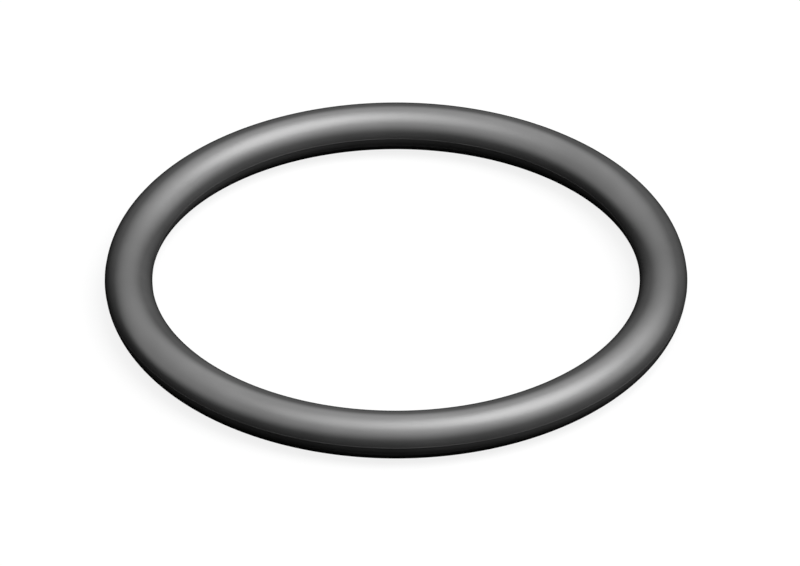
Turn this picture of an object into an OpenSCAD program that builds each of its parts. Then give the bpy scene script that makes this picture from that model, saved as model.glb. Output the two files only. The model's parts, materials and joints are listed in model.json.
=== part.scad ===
// Moulded silicone O-ring, relaxed and lying flat.
// The origin is the ring's centre, and Z is its axis, so the mould's parting plane is Z = 0.

/* [Ring] */
// Inner diameter of the relaxed ring, between its moulded surfaces
inner_d = 36; // [8:0.5:200]
// Diameter of the round section
section_d = 3.5; // [1:0.1:8]

/* [Parting line] */
// How far the trimmed flash stands out of the round section, inside and outside
flash_h = 0.02; // [0.01:0.01:0.1]
// Width of the flash, along the ring's axis
flash_w = 0.12; // [0.06:0.01:0.3]

/* [Hidden] */

section_fn = 64;
ring_fn = 240;

// Radius of the circle that the section's centre follows
pitch_r = (inner_d + section_d) / 2;
// Width of the section from the crest of the inner flash to the crest of the outer flash
over_flash_w = section_d + 2 * flash_h;

// The section is the circle that the two halves of the mould leave between them.
// Where they meet, a line of flash is left after trimming, with a narrow flat crest.
module ring_section() {
    circle(d = section_d, $fn = section_fn);
    square([over_flash_w, flash_w], center = true);
}

// The ring is endless: its section is carried once round the axis, with no joint
module o_ring() {
    color([0.32, 0.32, 0.32])
        rotate_extrude($fn = ring_fn)
            translate([pitch_r, 0])
                ring_section();
}

o_ring();
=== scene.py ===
# %% [markdown]
# # A moulded silicone O-ring
#
# The real object is one endless ring of silicone rubber with a round section. It is made in a
# mould of two halves, which meet in the plane of the ring, so a fine line of trimmed flash runs
# round it inside and outside. There is nothing else to it, so the whole likeness lies in three
# things: the exact curve of the ring, the soft sheen of moulded rubber, and the light.
#
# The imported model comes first. It is the frame that every size below is read from.

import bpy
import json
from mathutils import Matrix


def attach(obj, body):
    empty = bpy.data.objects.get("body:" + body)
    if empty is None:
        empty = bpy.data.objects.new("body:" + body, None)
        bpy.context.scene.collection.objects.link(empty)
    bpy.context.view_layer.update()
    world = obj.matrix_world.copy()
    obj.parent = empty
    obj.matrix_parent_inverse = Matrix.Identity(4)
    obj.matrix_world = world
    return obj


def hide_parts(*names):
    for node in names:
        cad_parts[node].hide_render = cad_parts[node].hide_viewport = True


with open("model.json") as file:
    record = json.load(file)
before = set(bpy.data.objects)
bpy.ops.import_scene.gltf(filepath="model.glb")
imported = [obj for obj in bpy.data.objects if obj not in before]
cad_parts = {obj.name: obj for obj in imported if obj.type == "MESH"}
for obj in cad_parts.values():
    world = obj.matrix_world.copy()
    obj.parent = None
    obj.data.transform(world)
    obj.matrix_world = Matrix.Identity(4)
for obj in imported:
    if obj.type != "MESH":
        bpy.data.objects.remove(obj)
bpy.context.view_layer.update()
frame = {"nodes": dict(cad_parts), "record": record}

print("the packed part has the nodes", list(frame["nodes"]))

# %% Import what the steps below use
import json
import math

import bpy
import numpy as np
from mathutils import Vector

MM = 0.001

# %% [markdown]
# ## Sizes
#
# The record states the two lines of flash as mounts, with the radius and the width of each. Half
# way between them is the circle that the section is carried along, and half the distance between
# them is the section's radius and one height of flash. Reading them here means that the looks
# follow the part when its sizes change. Only the height of the flash isn't in the record, so it is
# repeated from the part's source.

# %% Read the ring's sizes from the frame, in metres
mounts = {mount["name"]: mount["dims"] for mount in frame["record"]["mounts"]}
inner_crest_r = mounts["inner_line"]["r_mm"] * MM
outer_crest_r = mounts["outer_line"]["r_mm"] * MM
flash_w = mounts["outer_line"]["length_mm"] * MM
flash_h = 0.02 * MM

pitch_r = (inner_crest_r + outer_crest_r) / 2
section_r = (outer_crest_r - inner_crest_r) / 2 - flash_h

print(f"pitch radius {pitch_r / MM:.3f} mm, section radius {section_r / MM:.3f} mm")

# %% [markdown]
# ## The camera
#
# The photograph looks down on the ring from 35.26 degrees, the angle at which a cube shows three
# equal faces, and it shows no perspective: the near side of the ring is as thick as the far side.
# A very long lens from far away gives that. An orthographic camera would give it too, but it keeps
# its scale when it is moved, and would crop the ring from above.
#
# How far away the camera stands follows from the radius that the ring has in the photograph, in
# pixels. The ring isn't quite in the middle of the picture. The camera is moved sideways for that,
# and not turned, so its angle stays right.

# %% Set up the camera
PICTURE_W = 800
RING_PITCH_PX = 267.46
RING_LEFT_PX = 3.95
RING_ABOVE_PX = 4.7
ELEVATION = math.atan(math.sqrt(0.5))
LENS_MM = 800
SENSOR_MM = 36
CLIP_TIMES = 10

pixel = pitch_r / RING_PITCH_PX
distance = pixel * PICTURE_W * LENS_MM / SENSOR_MM

to_camera = Vector((0, -math.cos(ELEVATION), math.sin(ELEVATION)))
picture_right = Vector((1, 0, 0))
picture_up = to_camera.cross(picture_right)


def make_camera():
    """A long lens in front of the ring, moved sideways to frame it as in the photograph."""
    data = bpy.data.cameras.new("camera")
    data.lens = LENS_MM
    data.sensor_width = SENSOR_MM
    data.clip_start = distance / CLIP_TIMES
    data.clip_end = distance * CLIP_TIMES
    camera = bpy.data.objects.new("camera", data)
    sideways = picture_right * RING_LEFT_PX - picture_up * RING_ABOVE_PX
    camera.location = to_camera * distance + sideways * pixel
    camera.rotation_euler = (math.pi / 2 - ELEVATION, 0, 0)
    bpy.context.scene.collection.objects.link(camera)
    bpy.context.scene.camera = camera


make_camera()
print(f"the camera is {distance:.3f} m away, and a pixel is {pixel / MM:.4f} mm")

# %% [markdown]
# ## The ring's surface
#
# A ring of round section is a torus, and Blender has one ready made, but its points are spread
# evenly round the section. The flash is 0.12 mm wide on a section of 3.5 mm, so an even grid fine
# enough for it would have millions of faces. Here the angles round the section are chosen
# instead: close together across each line of flash, and wide apart on the plain surface between.

# %% Choose the angles of the grid
AROUND_RING = 768
ACROSS_FLASH = 23
BETWEEN_FLASH = 39
FLASH_REACH = 1.6


def section_angles():
    """Angles round the section, from the outer line over the top to the inner line and back.

    Each half turn is a line of flash, then the plain surface. The close steps reach
    FLASH_REACH half widths to each side of the line's middle.
    """
    reach = FLASH_REACH * flash_w / 2 / section_r
    across = np.linspace(-reach, reach, ACROSS_FLASH)
    plain = np.linspace(reach, math.pi - reach, BETWEEN_FLASH + 2)[1:-1]
    half_turn = np.concatenate([across, plain])
    return np.concatenate([half_turn, half_turn + math.pi])


ring_angles = np.arange(AROUND_RING) * 2 * math.pi / AROUND_RING
phi, theta = np.meshgrid(section_angles(), ring_angles)
print("the grid has", theta.shape[0], "by", theta.shape[1], "points")

# %% [markdown]
# ## The flash
#
# The mould squeezes a thin skin of rubber out where its halves meet. It is torn or ground off, and
# what stays is a low ridge that isn't the same all the way: a little higher here, a little
# narrower there. A sum of slow waves with whole numbers of turns gives such a change, and it
# closes on itself where the ring does.

# %% Describe the flash
WAVES = 14
FEWEST_TURNS, MOST_TURNS = 3, 90
NARROWEST, LOWEST = 0.82, 0.3
RIDGE_EDGE = 0.22


def slow_waves(angle, seed):
    """A smooth value that varies round the ring.

    It is a sum of sines with whole numbers of turns, each divided by the root of its turns,
    and the sum is moved and scaled to reach from 0 to 1.
    """
    random = np.random.default_rng(seed)
    turns = random.integers(FEWEST_TURNS, MOST_TURNS, WAVES)
    phases = random.uniform(0, 2 * math.pi, WAVES)
    waves = np.sin(angle[..., None] * turns + phases) / np.sqrt(turns)
    total = waves.sum(axis=-1)
    return (total - total.min()) / (total.max() - total.min())


def smooth_step(low, high, value):
    """0 below low, 1 above high, and 3t squared less 2t cubed between them."""
    t = np.clip((value - low) / (high - low), 0, 1)
    return t * t * (3 - 2 * t)


def flash_mask(theta, phi):
    """1 on the crest of either line of flash, 0 on the plain surface.

    It is 1 less a smooth step over the distance from the line's middle. That distance is
    measured along the section, in half widths of the flash.
    """
    to_outer = np.abs((phi + math.pi) % (2 * math.pi) - math.pi)
    to_inner = np.abs(phi - math.pi)
    steps_away = np.minimum(to_outer, to_inner) * section_r / (flash_w / 2)
    edge = 1 - (1 - NARROWEST) * slow_waves(theta, seed=5)
    return 1 - smooth_step(edge - RIDGE_EDGE, edge + RIDGE_EDGE / 2, steps_away)


def flash_lift(theta, phi):
    """How far the surface stands out of the round section: the mask times a varying height."""
    height = flash_h * (1 - (1 - LOWEST) * slow_waves(theta, seed=11))
    return flash_mask(theta, phi) * height


print(f"the flash is {flash_lift(theta, phi).max() / MM:.4f} mm high at most")

# %% [markdown]
# ## From the grid to a mesh
#
# The position of every point is one formula, worked out for the whole grid at once. The faces join
# each point to its neighbours, and `np.roll` makes the last row and column meet the first, so the
# surface is closed and has no seam.

# %% Make the ring
def ring_points(theta, phi):
    """A circle with the flash on it, carried round a larger circle.

    The distance from the axis is the pitch radius, plus the section's radius times cos phi,
    plus the lift on the outer side or less the lift on the inner side. x and y are that
    distance times cos and sin theta, and z is the section's radius times sin phi.
    """
    lift = flash_lift(theta, phi)
    away = pitch_r + section_r * np.cos(phi) + lift * np.sign(np.cos(phi))
    x = away * np.cos(theta)
    y = away * np.sin(theta)
    z = section_r * np.sin(phi)
    return np.stack([x, y, z], axis=-1).reshape(-1, 3)


def ring_faces(shape):
    """Quads between neighbours in the grid, wound so that their fronts face out of the rubber."""
    index = np.arange(shape[0] * shape[1]).reshape(shape)
    along = np.roll(index, -1, axis=0)
    across = np.roll(index, -1, axis=1)
    both = np.roll(along, -1, axis=1)
    return np.stack([index, along, both, across], axis=-1).reshape(-1, 4)


def make_mesh(name, points, faces):
    """A smooth-shaded mesh object at the origin, from arrays of points and quads."""
    mesh = bpy.data.meshes.new(name)
    mesh.from_pydata(points, [], faces)
    mesh.shade_smooth()
    mesh.update()
    made = bpy.data.objects.new(name, mesh)
    bpy.context.scene.collection.objects.link(made)
    return made


ring = make_mesh("silicone_ring", ring_points(theta, phi), ring_faces(theta.shape))
print("the ring has", 2 * len(ring.data.polygons), "triangles")

# %% [markdown]
# ## What the ring tells its material
#
# The material has to know where on the section it is. It could work that out from the place of
# each point, but the script knows it already. So each point carries two numbers with it, called
# attributes: how much of it is flash, and how high it is on the section.

# %% Store the two attributes
def give_attribute(name, values):
    """Store one number for each point of the ring, which the material can read by that name."""
    attribute = ring.data.attributes.new(name, "FLOAT", "POINT")
    attribute.data.foreach_set("value", values.astype(np.float32).ravel())


give_attribute("flash", flash_mask(theta, phi))  # 1 on the flash, 0 beside it
give_attribute("crown", np.abs(np.sin(phi)))  # 0 at the parting line, 1 on top and underneath
print("the ring carries", [name for name in ("flash", "crown") if name in ring.data.attributes])

# %% [markdown]
# ## The silicone
#
# Silicone rubber filled with black pigment isn't black to the eye. It is a dark grey with a soft,
# wide sheen, because the mould's surface is satin and not polished. So the base colour is dark and
# neutral, and the roughness is middling.
#
# Four things keep it from looking like paint, and each is a small function below: the grey drifts,
# the flash differs from the skin, the mould has left its marks, and the gloss isn't the same
# everywhere. A few helpers come first, because a node tree repeats itself a lot.

# %% Small helpers for node trees
def add_node(tree, kind, **inputs):
    """A new node of that kind, with the named inputs set. An underscore stands for a space."""
    made = tree.nodes.new("ShaderNode" + kind)
    for name, value in inputs.items():
        made.inputs[name.replace("_", " ")].default_value = value
    return made


def calculate(tree, operation, first, second):
    """A Math node. first and second are plain numbers or other nodes' outputs."""
    made = add_node(tree, "Math")
    made.operation = operation
    for socket, value in zip(made.inputs, (first, second)):
        if isinstance(value, bpy.types.NodeSocket):
            tree.links.new(value, socket)
        else:
            socket.default_value = value
    return made.outputs["Value"]


def read_attribute(tree, name):
    """The number that the ring carries under that name."""
    made = add_node(tree, "Attribute")
    made.attribute_name = name
    return made.outputs["Fac"]


def grey(value):
    """A colour with the same red, green and blue."""
    return (value, value, value, 1)


print("red, green, blue and alpha of a middle grey are", grey(0.5))

# %% [markdown]
# ## The grey of the silicone
#
# The pigment is mixed in slightly unevenly, so the grey drifts over a few millimetres, and the
# roughness with it. The trimmed flash is a little duller and paler than the skin beside it. One
# noise drives both drifts, so the paler places are also the duller ones.

# %% Describe the grey and the roughness
DRIFT_PER_M = 190
DRIFT_LOW, DRIFT_HIGH = 0.3, 0.7
SILICONE_DARK, SILICONE_PALE = grey(0.074), grey(0.094)
FLASH_GREY = grey(0.088)
SATIN_LOW, SATIN_HIGH = 0.41, 0.45
FLASH_ROUGHNESS = 0.55


def silicone_drift(tree, place):
    """Noise that changes over a few millimetres, mostly between DRIFT_LOW and DRIFT_HIGH."""
    noise = add_node(tree, "TexNoise", Scale=DRIFT_PER_M, Detail=3.0, Roughness=0.5)
    tree.links.new(place, noise.inputs["Vector"])
    return noise.outputs["Fac"]


def silicone_grey(tree, drift, flash):
    """Dark to pale with the drift, and the flash's own grey on the flash."""
    skin = add_node(tree, "ValToRGB")
    low, high = skin.color_ramp.elements
    low.position, low.color = DRIFT_LOW, SILICONE_DARK
    high.position, high.color = DRIFT_HIGH, SILICONE_PALE
    tree.links.new(drift, skin.inputs["Fac"])

    both = tree.nodes.new("ShaderNodeMix")
    both.data_type = "RGBA"
    both.inputs["B"].default_value = FLASH_GREY
    tree.links.new(flash, both.inputs["Factor"])
    tree.links.new(skin.outputs["Color"], both.inputs["A"])
    return both.outputs["Result"]


def silicone_roughness(tree, drift, flash):
    """Satin that drifts, and duller on the flash."""
    skin = add_node(tree, "MapRange", From_Min=DRIFT_LOW, From_Max=DRIFT_HIGH,
                    To_Min=SATIN_LOW, To_Max=SATIN_HIGH)
    tree.links.new(drift, skin.inputs["Value"])

    both = add_node(tree, "Mix", B=FLASH_ROUGHNESS)
    tree.links.new(flash, both.inputs["Factor"])
    tree.links.new(skin.outputs["Result"], both.inputs["A"])
    return both.outputs["Result"]


print(f"the grey drifts over about {1 / DRIFT_PER_M / MM:.1f} mm")

# %% [markdown]
# ## The marks of the mould
#
# A mould for a ring is turned on a lathe, so its finest marks run round the ring. Under them lies
# an even grain. Both are far too small for the mesh, so a Bump node bends the light as if they
# were there.
#
# The turning marks need a pattern that is the same all round the ring. So their noise is read at
# the distance from the axis and the height, and not at the point itself.

# %% Describe the marks
GRAIN_PER_M = 9000
TURNING_PER_M = 26000
TURNING_SHARE = 0.35
RELIEF_HIGH = 0.005 * MM
RELIEF_STRENGTH = 0.8


def turning_marks(tree, place):
    """Noise over the square root of x squared plus y squared, and z."""
    apart = add_node(tree, "SeparateXYZ")
    tree.links.new(place, apart.inputs["Vector"])
    flat = add_node(tree, "CombineXYZ")
    tree.links.new(apart.outputs["X"], flat.inputs["X"])
    tree.links.new(apart.outputs["Y"], flat.inputs["Y"])
    from_axis = add_node(tree, "VectorMath")
    from_axis.operation = "LENGTH"
    tree.links.new(flat.outputs["Vector"], from_axis.inputs["Vector"])

    section_place = add_node(tree, "CombineXYZ")
    tree.links.new(from_axis.outputs["Value"], section_place.inputs["X"])
    tree.links.new(apart.outputs["Z"], section_place.inputs["Y"])
    noise = add_node(tree, "TexNoise", Scale=TURNING_PER_M, Detail=1.0)
    tree.links.new(section_place.outputs["Vector"], noise.inputs["Vector"])
    return noise.outputs["Fac"]


def mould_relief(tree, place):
    """A normal bent by the grain and the turning marks together."""
    grain = add_node(tree, "TexNoise", Scale=GRAIN_PER_M, Detail=2.0)
    tree.links.new(place, grain.inputs["Vector"])
    relief = add_node(tree, "Mix", Factor=TURNING_SHARE)
    tree.links.new(grain.outputs["Fac"], relief.inputs["A"])
    tree.links.new(turning_marks(tree, place), relief.inputs["B"])
    bump = add_node(tree, "Bump", Strength=RELIEF_STRENGTH, Distance=RELIEF_HIGH)
    tree.links.new(relief.outputs["Result"], bump.inputs["Height"])
    return bump.outputs["Normal"]


print(f"grain of {1 / GRAIN_PER_M / MM:.2f} mm and marks of {1 / TURNING_PER_M / MM:.2f} mm")

# %% [markdown]
# ## Where it is glossy
#
# Such rings may be tumbled to take the flash off. That rubs the skin dull on both sides of the
# line, and only the crown keeps the gloss of the mould. It is a guess, made because the photograph
# shows no gloss low on the sides of the ring.
#
# There is a second limit. A smooth glossy surface mirrors most where it is seen at a slant, so its
# outline would turn white over a white floor. Moulded rubber doesn't do that: its fine bumps stand
# in each other's way, and the rim of the ring is dull. A Layer Weight node tells how slanted the
# surface is to whoever looks at it.
#
# The share of the gloss is the product of the two: what the slant leaves of it, times what the
# tumbling has left of it.

# %% Describe the share of the gloss
GLOSS_FULL_TO, GLOSS_GONE_AT = 0.31, 0.54
RUBBED_TO, UNRUBBED_FROM = 0.27, 0.62


def smooth_range(tree, value, **ends):
    """A Map Range node that eases in and out, as smooth_step does."""
    made = add_node(tree, "MapRange", **ends)
    made.interpolation_type = "SMOOTHSTEP"
    tree.links.new(value, made.inputs["Value"])
    return made.outputs["Result"]


def gloss_share(tree):
    """1 where the crown is seen face on, 0 toward the rim and beside the parting line."""
    slant = add_node(tree, "LayerWeight", Blend=0.5)
    seen = smooth_range(tree, slant.outputs["Facing"], From_Min=GLOSS_FULL_TO,
                        From_Max=GLOSS_GONE_AT, To_Min=1, To_Max=0)
    left = smooth_range(tree, read_attribute(tree, "crown"), From_Min=RUBBED_TO,
                        From_Max=UNRUBBED_FROM)
    return calculate(tree, "MULTIPLY", seen, left)


rubbed_deg = math.degrees(math.asin(RUBBED_TO))
unrubbed_deg = math.degrees(math.asin(UNRUBBED_FROM))
print(f"rubbed dull up to {rubbed_deg:.0f} degrees from the line, glossy from {unrubbed_deg:.0f}")

# %% [markdown]
# ## The two finishes together
#
# A Mix Shader blends two finishes of the same grey, both Principled shaders. One is glossy. The
# other mirrors nothing, and gets a little darker toward the rim, because light goes a short way
# into the rubber before it comes out, and at a slant that way is longer and passes more pigment.
# The tint of a coat does the same: Blender works it out for the length of the way through the
# coat, and a coat with an IOR of 1 neither mirrors nor bends light itself. The glossy finish comes
# first in the mix, because an exported model takes its gloss from the first Principled shader that
# is found.
#
# The photograph's highlight is brighter than lamps at a plain level can make on real silicone,
# whose IOR is 1.41. The lamps stay plain and the gloss makes up for it, with a higher IOR and
# twice the normal specular level, which is 0.5.

# %% Make the silicone
SILICONE_IOR, SPECULAR_LEVEL = 1.49, 1.0
PIGMENT_TINT = grey(0.85)


def make_silicone():
    """Dark filled silicone: glossy on the crown, matte and pigmented elsewhere."""
    material = bpy.data.materials.new("silicone")
    material.use_nodes = True
    tree = material.node_tree
    link = tree.links.new

    place = add_node(tree, "TexCoord").outputs["Object"]
    drift = silicone_drift(tree, place)
    flash = read_attribute(tree, "flash")
    colour = silicone_grey(tree, drift, flash)
    relief = mould_relief(tree, place)

    glossy = tree.nodes["Principled BSDF"]
    glossy.inputs["IOR"].default_value = SILICONE_IOR
    glossy.inputs["Specular IOR Level"].default_value = SPECULAR_LEVEL
    link(silicone_roughness(tree, drift, flash), glossy.inputs["Roughness"])
    matte = add_node(tree, "BsdfPrincipled", Specular_IOR_Level=0.0, Roughness=1.0,
                     Coat_Weight=1.0, Coat_IOR=1.0, Coat_Tint=PIGMENT_TINT)
    for finish in (glossy, matte):
        link(colour, finish.inputs["Base Color"])
        link(relief, finish.inputs["Normal"])

    skin = add_node(tree, "MixShader")
    link(calculate(tree, "SUBTRACT", 1, gloss_share(tree)), skin.inputs[0])
    link(glossy.outputs["BSDF"], skin.inputs[1])
    link(matte.outputs["BSDF"], skin.inputs[2])
    link(skin.outputs["Shader"], tree.nodes["Material Output"].inputs["Surface"])
    return material


ring.data.materials.append(make_silicone())

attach(ring, "root")
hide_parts("o_ring")
print("the ring wears", ring.data.materials[0].name)

# %% [markdown]
# ## The light
#
# The photograph's highlight is wide and soft. It lies on the upper right of the section, with a
# weaker one beside it on the left. Two distant lamps with a wide angle make that: a distant lamp
# lights the whole floor evenly, so there is no edge to hide, and its angle sets how soft the
# shadow is.
#
# A level of 1 is the light at which a surface that faces the lamp shows its colour as it is
# written. A distant lamp's strength is that level times pi. Both lamps are high above a ring that
# is seen from the side, so few of the seen faces get all of it. On average they get a level of
# 1.0, and a face that looks straight up gets 1.6.

# %% Set up the lamps
# Each lamp's direction from the ring, its level, and how wide it looks in degrees
LAMPS = {
    "key": (Vector((0.47, -0.045, 0.88)), 1.32, 49),
    "fill": (Vector((-0.12, -0.22, 0.95)), 0.46, 42),
}


def make_lamp(name, towards, level, width_deg):
    """A distant lamp that shines from the side that towards points to."""
    data = bpy.data.lights.new(name, "SUN")
    data.energy = math.pi * level
    data.angle = math.radians(width_deg)
    lamp = bpy.data.objects.new(name, data)
    lamp.rotation_euler = towards.to_track_quat("Z", "Y").to_euler()
    bpy.context.scene.collection.objects.link(lamp)
    return lamp


for name, (towards, level, width_deg) in LAMPS.items():
    lamp = make_lamp(name, towards, level, width_deg)
    print("made the lamp", lamp.name, "with a strength of", round(lamp.data.energy, 2))
bpy.context.scene.view_settings.view_transform = "Standard"

# %% [markdown]
# ## The world
#
# The lamps do the lighting, so the world adds next to nothing to it. But a glossy surface also
# shows what stands round it, and a studio with a white floor has white walls and a white ceiling
# too. Light Path tells which ray is looking: the world is white for reflections, and dim for all
# other rays.

# %% Set up the world
WORLD_LEVEL, STUDIO_WHITE = 0.02, 1.0


def mirror_rays(tree, ray):
    """1 for rays that a glossy or a see-through surface sends on, 0 for all others."""
    mirrored = ray.outputs["Is Glossy Ray"]
    passed_on = ray.outputs["Is Transmission Ray"]
    return calculate(tree, "MAXIMUM", mirrored, passed_on)


def make_world():
    """Dim for every ray but a reflection, which sees a white studio all round."""
    world = bpy.data.worlds.new("world")
    world.use_nodes = True
    tree = world.node_tree
    background = tree.nodes["Background"]
    background.inputs["Color"].default_value = grey(1)
    level = add_node(tree, "Mix", A=WORLD_LEVEL, B=STUDIO_WHITE)
    tree.links.new(mirror_rays(tree, add_node(tree, "LightPath")), level.inputs["Factor"])
    tree.links.new(level.outputs["Result"], background.inputs["Strength"])
    return world


bpy.context.scene.world = make_world()
print("the world's level is", WORLD_LEVEL, "and", STUDIO_WHITE, "in reflections")

# %% [markdown]
# ## The floor
#
# The ring lies flat on a plain white floor. A floor that is only lit would throw light up under
# the ring, and the photograph's ring is nearly black there. So the floor is white to the camera
# and in reflections, less the ring's soft shadow, and is dark to the light that bounces from
# surface to surface.
#
# A paint is white when it gives back all the light that falls on it, so the lamps' light on the
# floor comes first. In reflections the floor is such a paint, with its whole shadow. For the
# camera most of its white is glow, which keeps the shadow as faint as a bright studio floor shows
# it.

# %% Make the floor
FLOOR_HALF_SIDE = 2.5
FLOOR_GLOW = 0.85
FLOOR_WHITE = 1.03
FLOOR_DARK = 0.02

lamps_on_floor = sum(level * towards.normalized().z for towards, level, _ in LAMPS.values())
floor_level = WORLD_LEVEL + lamps_on_floor
print(f"the floor gets light at a level of {floor_level:.2f}")


def make_floor_material():
    """White less the shadow to the camera and in reflections, and dark to all other rays."""
    material = bpy.data.materials.new("floor")
    material.use_nodes = True
    tree = material.node_tree
    link = tree.links.new
    tree.nodes.remove(tree.nodes["Principled BSDF"])

    ray = add_node(tree, "LightPath")
    glow = add_node(tree, "Emission", Color=grey(1), Strength=FLOOR_GLOW)
    wash = add_node(tree, "BsdfDiffuse", Color=grey((FLOOR_WHITE - FLOOR_GLOW) / floor_level))
    direct = add_node(tree, "AddShader")
    link(glow.outputs["Emission"], direct.inputs[0])
    link(wash.outputs["BSDF"], direct.inputs[1])

    paint = add_node(tree, "BsdfDiffuse", Color=grey(1 / floor_level))
    unseen = add_node(tree, "BsdfDiffuse", Color=grey(FLOOR_DARK))
    indirect = add_node(tree, "MixShader")
    link(mirror_rays(tree, ray), indirect.inputs[0])
    link(unseen.outputs["BSDF"], indirect.inputs[1])
    link(paint.outputs["BSDF"], indirect.inputs[2])

    shown = add_node(tree, "MixShader")
    link(ray.outputs["Is Camera Ray"], shown.inputs[0])
    link(indirect.outputs["Shader"], shown.inputs[1])
    link(direct.outputs["Shader"], shown.inputs[2])
    link(shown.outputs["Shader"], tree.nodes["Material Output"].inputs["Surface"])
    return material


def make_floor():
    """One large square, level with the lowest point of the ring."""
    corners = np.array([(-1, -1), (1, -1), (1, 1), (-1, 1)]) * FLOOR_HALF_SIDE
    points = np.c_[corners, np.full(4, -section_r)]
    floor = make_mesh("floor", points, [[0, 1, 2, 3]])
    floor.data.materials.append(make_floor_material())


make_floor()
print("the floor is at", round(-section_r / MM, 2), "mm")
